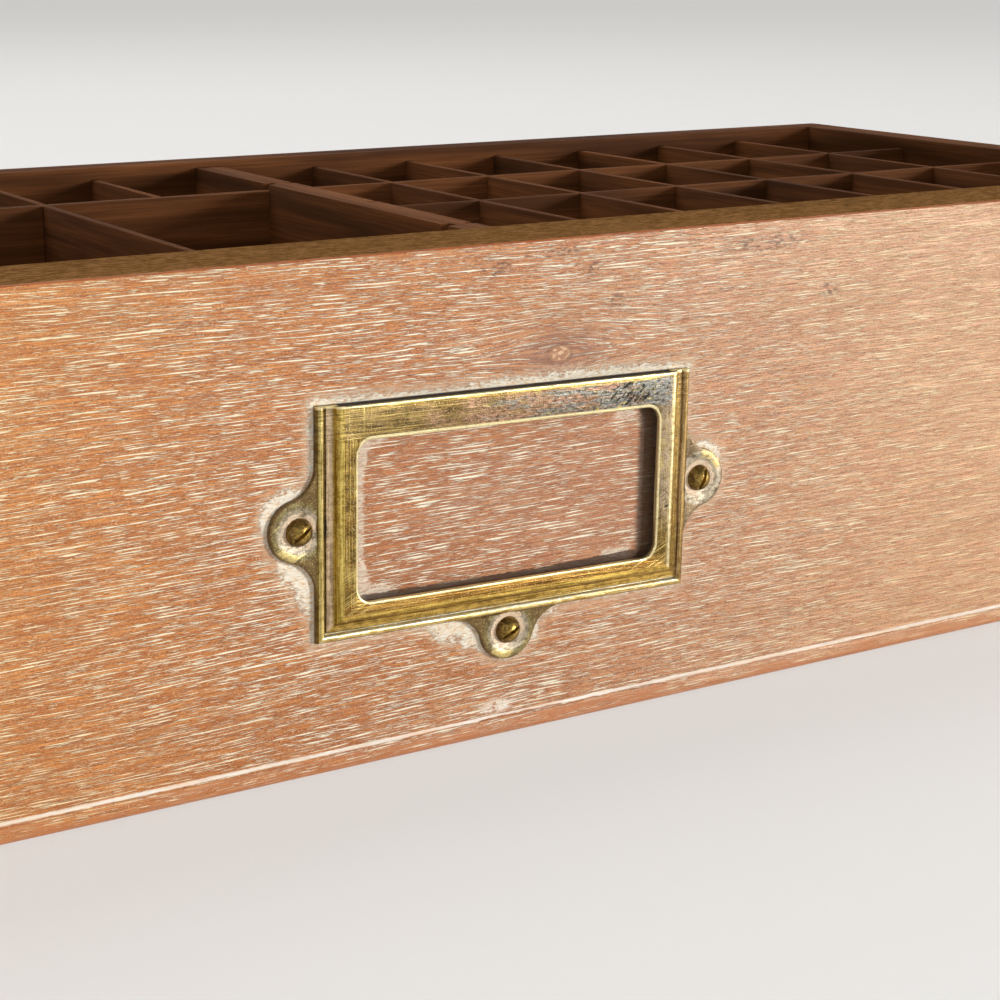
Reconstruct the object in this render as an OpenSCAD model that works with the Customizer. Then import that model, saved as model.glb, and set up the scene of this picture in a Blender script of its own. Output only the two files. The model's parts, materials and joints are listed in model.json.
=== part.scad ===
// Type case: a shallow wooden drawer whose inside is parted into boxes for printers' type,
// with a brass card frame screwed to its limed hardwood front.
// The front faces -Y, the width lies along X, and the case stands on z = 0.

/* [Case] */
// Width over the two sides, which is also the length of the front
case_w = 819; // [650:1:1000]
// Depth from the face of the front to the outside of the back
case_d = 422; // [330:1:520]
// Height of the sides and of the back
side_h = 44; // [36:1:60]
// Thickness of each side
side_t = 12; // [10:0.5:18]
// Thickness of the back
back_t = 12; // [10:0.5:18]

/* [Front] */
// Height of the front, which stands above the sides
front_h = 76; // [62:1:100]
// Thickness of the front
front_t = 16; // [14:0.5:22]
// Wood left over the tails of the sides at the front corners
front_lap = 5; // [3:0.5:7]
// Height of the bead along the bottom edge
bead_h = 3; // [2:0.1:5]
// Width of the quirk above the bead
quirk_w = 0.7; // [0.4:0.1:1.2]
// Depth of the quirk
quirk_d = 0.9; // [0.4:0.1:1.5]
// Rounding of the top arris
arris_r = 0.6; // [0.3:0.1:1.5]

/* [Bottom] */
// Thickness of the bottom boards
bottom_t = 6; // [4:0.5:8]
// Height of the open space under the bottom boards
bottom_rise = 6; // [4:0.5:9]
// Depth of the groove that holds the bottom boards
bottom_groove = 6; // [4:0.5:7]
// Length of the tongues between the bottom boards
tongue_l = 3; // [2:0.5:5]
// Thickness of the tongues between the bottom boards
tongue_t = 2; // [1.5:0.5:3]

/* [Boxes] */
// Thickness of the two main bars that part the case into three
bar_t = 9.5; // [8:0.5:14]
// Thickness of the thin slats
slat_t = 2.4; // [1.6:0.2:3.6]
// Thickness of the row slats of the left and middle parts
row_t = 4; // [3:0.2:6]
// How far the tops of the main bars lie below the tops of the sides
bar_drop = 2; // [0:0.5:6]
// How far the tops of the slats lie below the tops of the sides
slat_drop = 4; // [2:0.5:8]
// Depth of the grooves in the boards and the bars
board_groove = 3; // [2:0.5:3.5]
// Depth of the grooves in the row slats
row_groove = 1; // [0.6:0.1:1.2]
// Depth of the grooves in the thin slats
slat_groove = 0.6; // [0.4:0.1:0.7]
// Gap between a slat and its groove or notch, on each side
slat_gap = 0.1; // [0.05:0.05:0.2]

/* [Corner joints] */
// Number of tails at each corner
tails = 2; // [1:1:3]
// Half the width of a tail at its root, as a share of the space for one tail
tail_root = 0.25; // [0.2:0.01:0.28]
// Half the width of a tail at its tip, as a share of the space for one tail
tail_tip = 0.34; // [0.3:0.01:0.4]

/* [Nails] */
// Diameter of the nails that hold the bottom boards
nail_d = 1.8; // [1.4:0.1:2.2]
// Length of the nails
nail_l = 22; // [16:1:25]
// Diameter of the nails' heads
nail_head_d = 4.4; // [3.5:0.1:5.5]
// Thickness of the nails' heads
nail_head_t = 0.8; // [0.5:0.1:1.2]
// Number of nails up into the back
back_nails = 6; // [3:1:10]
// Gap around a driven nail or screw
driven_gap = 0.04; // [0.02:0.01:0.08]

/* [Card frame] */
// Width of the card frame, without its ears
card_w = 64.5; // [55:0.5:80]
// Height of the card frame, without its lower ear
card_h = 34.7; // [30:0.1:42]
// Width of the border at each side of the window
border_side = 6.1; // [5:0.1:9]
// Width of the border below the window
border_below = 5.5; // [5:0.1:8]
// Width of the border above the window
border_above = 5.2; // [3:0.1:7]
// Corner radius of the window
window_r = 2.3; // [1:0.1:4]
// Width of the moulded edge between the flange's outline and the raised plate
step_w = 2.6; // [1.4:0.1:3]
// Thickness of the flange and the ears
flange_t = 0.8; // [0.6:0.1:1.2]
// How far the raised plate stands out from the wood
plate_out = 1.8; // [1.5:0.1:2.6]
// Depth of the pocket for the card, behind the plate
pocket_t = 1; // [0.6:0.1:1.1]
// Wall between the pocket and the moulded edge
pocket_wall = 0.8; // [0.6:0.1:1]
// Height of the frame's lower edge above the bottom of the front
card_z = 20; // [16:0.5:24]
// Tilt of the frame, right end down, as it was screwed on by hand
card_tilt = 1.1; // [0:0.1:2]

/* [Card frame ears and screws] */
// Distance from the frame's edge out to the screw
ear_reach = 2.7; // [2:0.1:3.5]
// Radius of the ear around the screw
ear_r = 4.6; // [3.6:0.1:5]
// Half the width of the ear where it meets the frame
ear_half = 9.5; // [8:0.1:10.5]
// Height of the side ears' screws above the frame's lower edge
ear_z = 17; // [14:0.1:19]
// Diameter of the screws
screw_d = 2.2; // [1.8:0.1:2.6]
// Length of the screws below their heads
screw_l = 12; // [9:0.5:12.5]
// Diameter of the screws' round heads
head_d = 4.2; // [3.8:0.1:5]
// Height of the screws' heads
head_h = 1.6; // [1.2:0.1:2]
// Width of the slot in the screws' heads
slot_w = 0.6; // [0.4:0.1:0.9]
// Depth of the slot
slot_d = 0.8; // [0.4:0.1:1]
// Gap between a screw and its hole in the ear
screw_gap = 0.2; // [0.1:0.05:0.3]

/* [Hidden] */
$fn = 64;
// Number of boxes each way in a full part of the case
units = 7;
// Depth of each row of the left and middle parts in box units, from the back to the front
row_units = [1, 2, 2, 2];
// Widths of the boxes in each row in box units, from left to right
left_lay = [[1, 1, 1, 1, 1, 1, 1], [1, 2, 2, 2], [1, 2, 2, 2], [1, 2, 2, 2]];
middle_lay = [[1, 1, 1, 1, 1, 1, 1], [3, 2, 2], [2, 2, 1, 2], [2, 3, 2]];
lays = [left_lay, middle_lay];
part_names = ["left", "middle"];
bottom_names = ["front", "middle", "back"];
// Angle of each screw's slot: left, right and lower ear
slot_angles = [37, 70, 30];
// A cut runs this far past the face that it opens
cut = 1;

// What stands out in front of the wood decides where the middle of the depth lies
face_out = max(plate_out, flange_t + head_h);
face_y = face_out / 2 - case_d / 2;
back_y = face_y + case_d;
inner_front = face_y + front_t;
inner_back = back_y - back_t;
inner_x = case_w / 2 - side_t;
floor_z = bottom_rise + bottom_t;
slat_top = side_h - slat_drop;
bar_top = side_h - bar_drop;

part_w = (2 * inner_x - 2 * bar_t) / 3;
unit_x = (part_w + slat_t) / units;
unit_y = (inner_back - inner_front + slat_t) / units;

// The bottom boards lie one behind the other, from the front's groove to the back's outside
bottom_front = inner_front - bottom_groove;
bottom_d = (back_y - bottom_front) / 3;
// Joints between the boards lie at whole hundredths, so that two boards meet in one plane
bottom_joints = [
    bottom_front,
    for (i = [1, 2]) round(100 * (bottom_front + i * bottom_d)) / 100,
    back_y
];

function sum_to(v, n) = n == 0 ? 0 : v[n - 1] + sum_to(v, n - 1);
// Left end of a part of the case, where part 0 is the left one
function part_x(part) = -inner_x + part * (part_w + bar_t);
// Middle of the front-to-back line after so many units, and of the cross line from the back
function line_x(part, n) = part_x(part) + n * unit_x - slat_t / 2;
function line_y(n) = inner_back - n * unit_y + slat_t / 2;
// Front and back ends of the space in a row
function row_back(row) = row == 0 ? inner_back : line_y(sum_to(row_units, row)) - row_t / 2;
function row_front(row) =
    row == len(row_units) - 1 ? inner_front : line_y(sum_to(row_units, row + 1)) + row_t / 2;

// A slat is [low x, high x, low y, high y], with its ends let into their grooves
function row_slat(part, row) = [
    part_x(part) - board_groove,
    part_x(part) + part_w + board_groove,
    line_y(sum_to(row_units, row)) - row_t / 2,
    line_y(sum_to(row_units, row)) + row_t / 2
];
function box_slats(part, row) = [
    for (i = [1:len(lays[part][row]) - 1])
        let (x = line_x(part, sum_to(lays[part][row], i)))
        [
            x - slat_t / 2,
            x + slat_t / 2,
            row_front(row) - (row == len(row_units) - 1 ? board_groove : row_groove),
            row_back(row) + (row == 0 ? board_groove : row_groove)
        ]
];
// A box one unit wide in a row two units deep is split by a short cross slat
function split_slats(part) = [
    for (row = [1:len(row_units) - 1])
        for (i = [0:len(lays[part][row]) - 1])
            if (lays[part][row][i] == 1)
                let (
                    from = sum_to(lays[part][row], i),
                    y = line_y(sum_to(row_units, row) + 1),
                    low = from == 0 ? part_x(part) - board_groove
                        : line_x(part, from) + slat_t / 2 - slat_groove,
                    high = from + 1 == units ? part_x(part) + part_w + board_groove
                        : line_x(part, from + 1) - slat_t / 2 + slat_groove
                )
                [low, high, y - slat_t / 2, y + slat_t / 2]
];
function capital_long_slat(n) = [
    line_x(2, n) - slat_t / 2,
    line_x(2, n) + slat_t / 2,
    inner_front - board_groove,
    inner_back + board_groove
];
function capital_cross_slat(n) = [
    part_x(2) - board_groove,
    part_x(2) + part_w + board_groove,
    line_y(n) - slat_t / 2,
    line_y(n) + slat_t / 2
];
function bar(n) = [
    part_x(n) - bar_t,
    part_x(n),
    inner_front - board_groove,
    inner_back + board_groove
];
function parted(part) = concat(
    [for (row = [1:len(row_units) - 1]) row_slat(part, row)],
    [for (row = [0:len(row_units) - 1]) each box_slats(part, row)],
    split_slats(part)
);
slats = concat(
    parted(0),
    parted(1),
    [for (n = [1:units - 1]) capital_long_slat(n)],
    [for (n = [1:units - 1]) capital_cross_slat(n)]
);
bars = [bar(1), bar(2)];

// Places of the nails, up into the back and up into the two bars
nail_places = concat(
    [for (i = [0:back_nails - 1])
        [(2 * (i + 0.5) / back_nails - 1) * inner_x, back_y - back_t / 2]],
    [for (n = [1, 2]) for (i = [0:2])
        [part_x(n) - bar_t / 2, (bottom_joints[i] + bottom_joints[i + 1]) / 2]]
);

// The concave flank of an ear touches the frame's edge and the ear's round
ear_fillet = (pow(ear_half, 2) + pow(ear_reach, 2) - pow(ear_r, 2)) / (2 * (ear_r + ear_reach));
window_w = card_w - 2 * border_side;
window_h = card_h - border_below - border_above;
pocket_w = card_w - 2 * (step_w + pocket_wall);
pocket_z = step_w + pocket_wall;
// Screw places on the card frame and the turn of each ear: left, right and lower
ears = [
    [-card_w / 2 - ear_reach, ear_z, 90],
    [card_w / 2 + ear_reach, ear_z, -90],
    [0, -ear_reach, 180]
];

front_colour = [0.80, 0.57, 0.40];
inside_colour = [0.36, 0.23, 0.14];
bottom_colour = [0.42, 0.29, 0.18];
brass_colour = [0.62, 0.49, 0.24];
iron_colour = [0.25, 0.24, 0.23];

// Upright slat or bar on the floor of the case, and the same grown by a gap on all sides
module slat(place, top) {
    translate([place[0], place[2], floor_z])
        cube([place[1] - place[0], place[3] - place[2], top - floor_z]);
}

module slat_space(place, top, gap = slat_gap) {
    translate([place[0] - gap, place[2] - gap, floor_z])
        cube([place[1] - place[0] + 2 * gap, place[3] - place[2] + 2 * gap, top - floor_z]);
}

module slat_spaces(top) {
    for (place = slats)
        slat_space(place, top);
}

module bar_spaces() {
    for (place = bars)
        slat_space(place, bar_top + slat_gap);
}

// Tails from z0 up to z1, which point along +Y from y = 0 and lie along +X from x = 0
module tail_row(z0, z1, length, thick) {
    pitch = (z1 - z0) / tails;
    root = tail_root * pitch;
    tip = tail_tip * pitch;
    for (i = [0:tails - 1])
        translate([0, 0, z0 + pitch * (i + 0.5)])
            rotate([90, 0, 90])
                linear_extrude(thick)
                    polygon([[0, -root], [length, -tip], [length, tip], [0, root]]);
}

// Tails of the right side at the front and at the back
module front_tails() {
    translate([inner_x, inner_front, 0])
        mirror([0, 1, 0])
            tail_row(0, side_h, front_t - front_lap, side_t);
}

module back_tails() {
    translate([inner_x, inner_back, 0])
        tail_row(floor_z, side_h, back_t, side_t);
}

module both_ends() {
    children();
    mirror([1, 0, 0])
        children();
}

// Section of the front: x is the distance behind its face, y the height
module front_section() {
    bead_r = bead_h / 2;
    difference() {
        square([front_t, front_h]);
        translate([-cut, bead_h])
            square([cut + quirk_d, quirk_w]);
        difference() {
            square([bead_r, bead_h]);
            translate([bead_r, bead_r])
                circle(bead_r);
        }
        translate([0, front_h - arris_r])
            difference() {
                square(arris_r);
                translate([arris_r, 0])
                    circle(arris_r);
            }
    }
}

module front_board() {
    color(front_colour)
        difference() {
            translate([-case_w / 2, face_y, 0])
                rotate([90, 0, 90])
                    linear_extrude(case_w)
                        front_section();
            both_ends()
                front_tails();
            translate([-inner_x - bottom_groove, bottom_front, bottom_rise])
                cube([2 * (inner_x + bottom_groove), bottom_groove + cut, bottom_t]);
            slat_spaces(slat_top + slat_gap);
            bar_spaces();
            on_front()
                for (i = [0:2])
                    screw_shank(i, driven_gap);
        }
}

module back_board() {
    color(inside_colour)
        difference() {
            translate([-case_w / 2, inner_back, floor_z])
                cube([case_w, back_t, side_h - floor_z]);
            both_ends()
                back_tails();
            slat_spaces(slat_top + slat_gap);
            bar_spaces();
            nails(driven_gap);
        }
}

module right_side_blank() {
    front_tails();
    back_tails();
    translate([inner_x, inner_front, 0])
        cube([side_t, inner_back - inner_front, side_h]);
    translate([inner_x, inner_front, 0])
        cube([side_t, back_y - inner_front, floor_z]);
}

module side(right) {
    color(inside_colour)
        difference() {
            mirror([right ? 0 : 1, 0, 0])
                right_side_blank();
            translate([-inner_x - bottom_groove, bottom_front - cut, bottom_rise])
                cube([2 * (inner_x + bottom_groove), back_y - bottom_front + 2 * cut, bottom_t]);
            slat_spaces(slat_top + slat_gap);
        }
}

module left_side() {
    side(false);
}

module right_side() {
    side(true);
}

// Tongue on the front edge of a bottom board, which fills the groove of the one before it
module tongue(board, gap) {
    translate([
        -inner_x - bottom_groove,
        bottom_joints[board] - tongue_l - gap,
        bottom_rise + (bottom_t - tongue_t) / 2 - gap
    ])
        cube([2 * (inner_x + bottom_groove), tongue_l + gap, tongue_t + 2 * gap]);
}

module bottom_board(board) {
    color(bottom_colour)
        difference() {
            union() {
                translate([-inner_x - bottom_groove, bottom_joints[board], bottom_rise])
                    cube([
                        2 * (inner_x + bottom_groove),
                        bottom_joints[board + 1] - bottom_joints[board],
                        bottom_t
                    ]);
                if (board > 0)
                    tongue(board, 0);
            }
            if (board < 2)
                tongue(board + 1, slat_gap);
            nails(driven_gap);
        }
}

// Bars are grooved for the slats from above, so that the slats drop in
module main_bar(n) {
    color(inside_colour)
        difference() {
            slat(bar(n), bar_top);
            slat_spaces(bar_top + cut);
            nails(driven_gap);
        }
}

module left_bar() {
    main_bar(1);
}

module right_bar() {
    main_bar(2);
}

module row_slat_piece(part, row) {
    color(inside_colour)
        difference() {
            slat(row_slat(part, row), slat_top);
            for (near = [row - 1, row])
                for (place = box_slats(part, near))
                    slat_space(place, slat_top + cut);
        }
}

module box_slats_piece(part, row) {
    color(inside_colour)
        difference() {
            for (place = box_slats(part, row))
                slat(place, slat_top);
            for (place = split_slats(part))
                slat_space(place, slat_top + cut);
        }
}

module split_slats_piece(part) {
    color(inside_colour)
        for (place = split_slats(part))
            slat(place, slat_top);
}

// The long and cross slats of the capitals' part are notched to half their height
half_z = (floor_z + slat_top) / 2;

module capital_long_slat_piece(n) {
    color(inside_colour)
        difference() {
            slat(capital_long_slat(n), slat_top);
            for (i = [1:units - 1])
                translate([0, 0, half_z - floor_z])
                    slat_space(capital_cross_slat(i), slat_top);
        }
}

module capital_cross_slat_piece(n) {
    color(inside_colour)
        difference() {
            slat(capital_cross_slat(n), slat_top);
            for (i = [1:units - 1])
                translate([0, 0, -cut])
                    slat_space(capital_long_slat(i), half_z + cut);
        }
}

module nails(gap = 0) {
    for (place = nail_places)
        translate([place[0], place[1], bottom_rise]) {
            translate([0, 0, -gap])
                cylinder(d = nail_head_d + 2 * gap, h = nail_head_t + 2 * gap);
            cylinder(d = nail_d + 2 * gap, h = nail_l + gap);
        }
}

module bottom_nails() {
    color(iron_colour)
        nails();
}

// Puts the card frame's own x and z on the face of the front, tilted as it was screwed on
module on_front() {
    translate([0, face_y, card_z])
        rotate([0, card_tilt, 0])
            children();
}

// Raises an outline drawn on the face of the front out of it
module raised(height) {
    rotate([90, 0, 0])
        linear_extrude(height)
            children();
}

// Outline of an ear that stands up from y = 0
module ear_outline() {
    touch = ear_r / (ear_r + ear_fillet);
    touch_x = touch * ear_half;
    touch_y = ear_reach + touch * (ear_fillet - ear_reach);
    translate([0, ear_reach])
        circle(ear_r);
    difference() {
        polygon([
            [-ear_half, -step_w],
            [ear_half, -step_w],
            [ear_half, 0],
            [touch_x, touch_y],
            [-touch_x, touch_y],
            [-ear_half, 0]
        ]);
        for (side = [-1, 1])
            translate([side * ear_half, ear_fillet])
                circle(ear_fillet);
    }
}

module frame_outline() {
    translate([-card_w / 2, 0])
        square([card_w, card_h]);
    for (ear = ears)
        translate([ear[0], ear[1]])
            rotate(ear[2])
                translate([0, -ear_reach])
                    ear_outline();
}

module window_outline() {
    for (x = [-1, 1])
        for (z = [window_r, window_h - window_r])
            translate([x * (window_w / 2 - window_r), z])
                circle(window_r);
    translate([-window_w / 2, window_r])
        square([window_w, window_h - 2 * window_r]);
    translate([-window_w / 2 + window_r, 0])
        square([window_w - 2 * window_r, window_h]);
}

module card_frame() {
    color(brass_colour)
        on_front()
            difference() {
                union() {
                    raised(flange_t)
                        frame_outline();
                    raised(plate_out)
                        translate([-card_w / 2 + step_w, step_w])
                            square([card_w - 2 * step_w, card_h - step_w]);
                }
                translate([0, cut, border_below])
                    raised(plate_out + 2 * cut)
                        window_outline();
                translate([-pocket_w / 2, -pocket_t, pocket_z])
                    cube([pocket_w, pocket_t + cut, card_h]);
                for (ear = ears)
                    translate([ear[0], cut, ear[1]])
                        raised(flange_t + 2 * cut)
                            circle(screw_d / 2 + screw_gap);
            }
}

// Straight shank with a point as long as it is thick, from under the head into the wood
module screw_shank(i, gap = 0) {
    translate([ears[i][0], -flange_t, ears[i][1]])
        rotate([-90, 0, 0]) {
            cylinder(d = screw_d + 2 * gap, h = screw_l - screw_d + gap);
            translate([0, 0, screw_l - screw_d + gap])
                cylinder(d1 = screw_d + 2 * gap, d2 = 0, h = screw_d);
        }
}

module screw_head(i) {
    ball_r = (pow(head_d / 2, 2) + pow(head_h, 2)) / (2 * head_h);
    translate([ears[i][0], -flange_t, ears[i][1]])
        rotate([90, 0, 0])
            difference() {
                intersection() {
                    translate([0, 0, head_h - ball_r])
                        sphere(ball_r);
                    cylinder(d = head_d, h = head_h + cut);
                }
                rotate(slot_angles[i])
                    translate([-head_d, -slot_w / 2, head_h - slot_d])
                        cube([2 * head_d, slot_w, slot_d + cut]);
            }
}

module card_frame_screws() {
    color(brass_colour)
        on_front()
            for (i = [0:2]) {
                screw_head(i);
                screw_shank(i);
            }
}

front_board();
back_board();
left_side();
right_side();
for (i = [0:2])
    bottom_board(i);
left_bar();
right_bar();
for (part = [0, 1]) {
    for (row = [1:3])
        row_slat_piece(part, row);
    for (row = [1:4])
        box_slats_piece(part, row - 1);
    split_slats_piece(part);
}
for (n = [1:units - 1]) {
    capital_long_slat_piece(n);
    capital_cross_slat_piece(n);
}
bottom_nails();
card_frame();
card_frame_screws();
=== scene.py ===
import json
import math

import bmesh
import bpy
from mathutils import Matrix, Vector


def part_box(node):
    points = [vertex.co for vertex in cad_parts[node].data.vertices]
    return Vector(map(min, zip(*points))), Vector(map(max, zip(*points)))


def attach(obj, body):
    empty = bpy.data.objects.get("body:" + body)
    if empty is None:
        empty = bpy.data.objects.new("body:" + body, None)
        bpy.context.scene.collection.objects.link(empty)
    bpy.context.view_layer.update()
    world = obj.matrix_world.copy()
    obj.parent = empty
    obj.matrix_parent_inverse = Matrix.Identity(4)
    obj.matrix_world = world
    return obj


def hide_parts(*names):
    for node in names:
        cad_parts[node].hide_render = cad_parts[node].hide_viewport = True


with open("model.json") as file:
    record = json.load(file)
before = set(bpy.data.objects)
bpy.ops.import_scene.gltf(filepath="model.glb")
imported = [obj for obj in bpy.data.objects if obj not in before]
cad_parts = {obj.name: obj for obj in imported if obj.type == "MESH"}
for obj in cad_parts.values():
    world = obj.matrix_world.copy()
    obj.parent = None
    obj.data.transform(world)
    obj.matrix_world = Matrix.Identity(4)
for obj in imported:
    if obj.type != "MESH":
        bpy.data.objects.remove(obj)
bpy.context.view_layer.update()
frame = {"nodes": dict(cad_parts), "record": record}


# ---------------------------------------------------------------------------
# The studio: a large pale floor in an even pale surround, a soft lamp low on the right,
# a weak one by the camera, and a broad one above and behind for the floor and the boxes.
# The camera stands close to the left of the card frame and looks slightly down at it.
# ---------------------------------------------------------------------------
MM = 0.001
front_low, front_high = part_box("front_board")
# Middle of the card frame's lower edge on the face of the front, and the tilt it was hung with
HANG_HEIGHT = 20 * MM
HANG_TILT = math.radians(1.1)
hang_point = Vector((0, front_low.y, HANG_HEIGHT))


def paint(shade):
    """Linear colour of a six-digit sRGB shade such as c8946a."""
    channels = [int(shade[i:i + 2], 16) / 255 for i in (0, 2, 4)]
    linear = [c / 12.92 if c <= 0.04045 else ((c + 0.055) / 1.055) ** 2.4 for c in channels]
    return (*linear, 1)


class Finish:
    """A procedural material. Each method adds a node and returns the output that is of use."""

    def __init__(self, name):
        self.material = bpy.data.materials.new(name)
        self.material.use_nodes = True
        self.nodes = self.material.node_tree.nodes
        self.links = self.material.node_tree.links
        self.shader = self.nodes["Principled BSDF"]
        # Places on a piece are in millimetres
        place = self.add("TexCoord").outputs["Object"]
        self.place = self.fit(place, scale=[1 / MM] * 3)

    def add(self, kind, **settings):
        node = self.nodes.new("ShaderNode" + kind)
        for name, value in settings.items():
            setattr(node, name, value)
        return node

    def feed(self, socket, value):
        if isinstance(value, bpy.types.NodeSocket):
            self.links.new(value, socket)
        else:
            socket.default_value = value

    def maths(self, operation, *values):
        node = self.add("Math", operation=operation)
        for socket, value in zip(node.inputs, values):
            self.feed(socket, value)
        return node.outputs[0]

    def folded(self, operation, values):
        """Several values made one, two at a time."""
        result = values[0]
        for value in values[1:]:
            result = self.maths(operation, result, value)
        return result

    def total(self, *values):
        return self.folded("ADD", values)

    def product(self, *values):
        return self.folded("MULTIPLY", values)

    def most(self, *values):
        return self.folded("MAXIMUM", values)

    def least(self, *values):
        return self.folded("MINIMUM", values)

    def minus(self, value, other):
        return self.maths("SUBTRACT", value, other)

    def less(self, value):
        return self.maths("SUBTRACT", 1.0, value)

    def squares(self, *values):
        """The sum of the squares of several values."""
        return self.total(*[
            self.maths("POWER", self.maths("ABSOLUTE", value), 2.0) for value in values
        ])

    def length(self, *values):
        return self.maths("SQRT", self.squares(*values))

    def spot(self, x, z, middle, reach):
        """1 at a place on the face, fading out round it at a reach across and one up."""
        away = self.length(
            self.maths("DIVIDE", self.minus(x, middle[0]), reach[0]),
            self.maths("DIVIDE", self.minus(z, middle[1]), reach[1]),
        )
        return self.rise(away, 1.25, 0.35)

    def off_box(self, x, z, low, high, corner=0.0):
        """Distance from a box with rounded corners, which is negative inside it."""
        half = [(h - l) / 2 - corner for l, h in zip(low, high)]
        middle = [(h + l) / 2 for l, h in zip(low, high)]
        beyond = [
            self.minus(self.maths("ABSOLUTE", self.minus(value, m)), h)
            for value, m, h in zip((x, z), middle, half)
        ]
        outside = self.length(*[self.maths("MAXIMUM", b, 0.0) for b in beyond])
        inside = self.maths("MINIMUM", self.most(*beyond), 0.0)
        return self.total(outside, inside, -corner)

    def parts(self, place):
        node = self.add("SeparateXYZ")
        self.feed(node.inputs[0], place)
        return node.outputs

    def joined(self, x, y, z):
        node = self.add("CombineXYZ")
        for socket, value in zip(node.inputs, (x, y, z)):
            self.feed(socket, value)
        return node.outputs[0]

    def fit(self, place, move=(0, 0, 0), turn=(0, 0, 0), scale=(1, 1, 1)):
        node = self.add("Mapping")
        self.feed(node.inputs["Vector"], place)
        node.inputs["Location"].default_value = move
        node.inputs["Rotation"].default_value = turn
        node.inputs["Scale"].default_value = scale
        return node.outputs[0]

    def noise(self, place, size, detail=2.0, rough=0.5, seed=0.0):
        """Noise whose cells are about size millimetres, mostly between 0.2 and 0.8."""
        node = self.add("TexNoise")
        moved = self.fit(place, move=(seed, 1.7 * seed, 2.3 * seed), scale=[1 / s for s in size])
        self.feed(node.inputs["Vector"], moved)
        node.inputs["Scale"].default_value = 1
        node.inputs["Detail"].default_value = detail
        node.inputs["Roughness"].default_value = rough
        return node.outputs[0]

    def dashes(self, x, up, pitch, reach, seed):
        """Rows of dashes with pointed ends, pitch apart: above 0 inside a dash."""
        row_jump = 7.31 * reach  # so far that no row looks like its neighbour
        bare = 0.461  # what the noise has to pass for a dash to show
        taper = 1.1  # how fast a dash thins out from the middle of its row
        height = self.maths("DIVIDE", up, pitch)
        row = self.maths("FLOOR", height)
        lane = self.joined(x, self.product(row, row_jump), 0.0)
        body = self.noise(lane, (reach, reach, 1), 1.0, 0.6, seed)
        sway = self.noise(lane, (3 * reach, reach, 1), 0.0, seed=seed + 30)
        middle = self.between(sway, 0.1, 0.9)
        off = self.maths("ABSOLUTE", self.minus(self.minus(height, row), middle))
        return self.total(body, -bare, self.product(off, -taper))

    def rise(self, value, low, high):
        """0 below low, 1 above high and a soft step between; low may be the larger one."""
        node = self.add("MapRange", interpolation_type="SMOOTHSTEP")
        for name, number in (("Value", value), ("From Min", low), ("From Max", high)):
            self.feed(node.inputs[name], number)
        return node.outputs[0]

    def between(self, value, low, high):
        """Carries 0..1 to low..high."""
        return self.maths("MULTIPLY_ADD", value, high - low, low)

    def mix(self, amount, first, second):
        node = self.add("Mix", data_type="RGBA")
        self.feed(node.inputs[0], amount)
        self.feed(node.inputs[6], first)
        self.feed(node.inputs[7], second)
        return node.outputs[2]

    def relief(self, height, depth, under=None):
        """Bump whose height of 1 is depth millimetres."""
        node = self.add("Bump")
        node.inputs["Distance"].default_value = depth * MM
        self.feed(node.inputs["Height"], height)
        if under is not None:
            self.feed(node.inputs["Normal"], under)
        return node.outputs[0]

    def facing(self):
        """The way the surface faces, without its relief."""
        return self.parts(self.add("NewGeometry").outputs["True Normal"])

    def apply(self, colour, roughness, relief=None, metallic=0.0, specular=0.5):
        self.feed(self.shader.inputs["Base Color"], colour)
        self.feed(self.shader.inputs["Roughness"], roughness)
        self.feed(self.shader.inputs["Metallic"], metallic)
        self.feed(self.shader.inputs["Specular IOR Level"], specular)
        if relief is not None:
            self.feed(self.shader.inputs["Normal"], relief)
        return self.material

    def glow(self, colour, share):
        """Shows a share of the plain colour to the eye and in mirrors, and lights nothing."""
        path = self.add("LightPath").outputs
        seen = self.maths("MINIMUM", self.total(
            path["Is Camera Ray"], path["Is Glossy Ray"], path["Is Transmission Ray"]
        ), 1.0)
        light = self.add("Emission")
        light.inputs["Color"].default_value = colour
        blend = self.add("MixShader")
        self.feed(blend.inputs[0], self.product(seen, share))
        self.feed(blend.inputs[1], self.shader.outputs[0])
        self.feed(blend.inputs[2], light.outputs[0])
        self.feed(self.nodes["Material Output"].inputs["Surface"], blend.outputs[0])


def placed(name, data):
    """A new object in the scene."""
    thing = bpy.data.objects.new(name, data)
    bpy.context.scene.collection.objects.link(thing)
    return thing


def smoothed(mesh, angle=30):
    """Shades a mesh smooth where its faces meet at less than an angle in degrees."""
    mesh.shade_smooth()
    mesh.set_sharp_from_angle(angle=math.radians(angle))


def made(name, bm, material=None):
    """Turns a finished bmesh into an object."""
    mesh = bpy.data.meshes.new(name)
    bm.to_mesh(mesh)
    bm.free()
    smoothed(mesh)
    if material:
        mesh.materials.append(material)
    return placed(name, mesh)


floor_mesh = bmesh.new()
bmesh.ops.create_grid(floor_mesh, x_segments=1, y_segments=1, size=15)
floor_finish = Finish("pale_floor")
floor_finish.apply(paint("efeeec"), 0.8, specular=0.2)
floor_finish.glow(paint("f4f2ef"), share=0.55)
floor = made("floor", floor_mesh, floor_finish.material)


def softbox(name, place, size, power, spread=180):
    """A lamp that faces the card frame; its spread is in degrees."""
    lamp = bpy.data.lights.new(name, "AREA")
    lamp.shape = "RECTANGLE"
    lamp.size, lamp.size_y = size
    lamp.energy = power
    lamp.spread = math.radians(spread)
    stand = placed(name, lamp)
    stand.location = place
    stand.rotation_euler = (hang_point - Vector(place)).to_track_quat("-Z", "Y").to_euler()


softbox("key_lamp", place=(3.45, -3.5, 0.63), size=(1.05, 1.05), power=10.6, spread=40)
softbox("fill_lamp", place=(-0.9, -1.1, 0.7), size=(1.0, 0.8), power=4.5)
softbox("top_lamp", place=(0.2, 0.9, 1.8), size=(1.5, 1.5), power=22)

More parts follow.
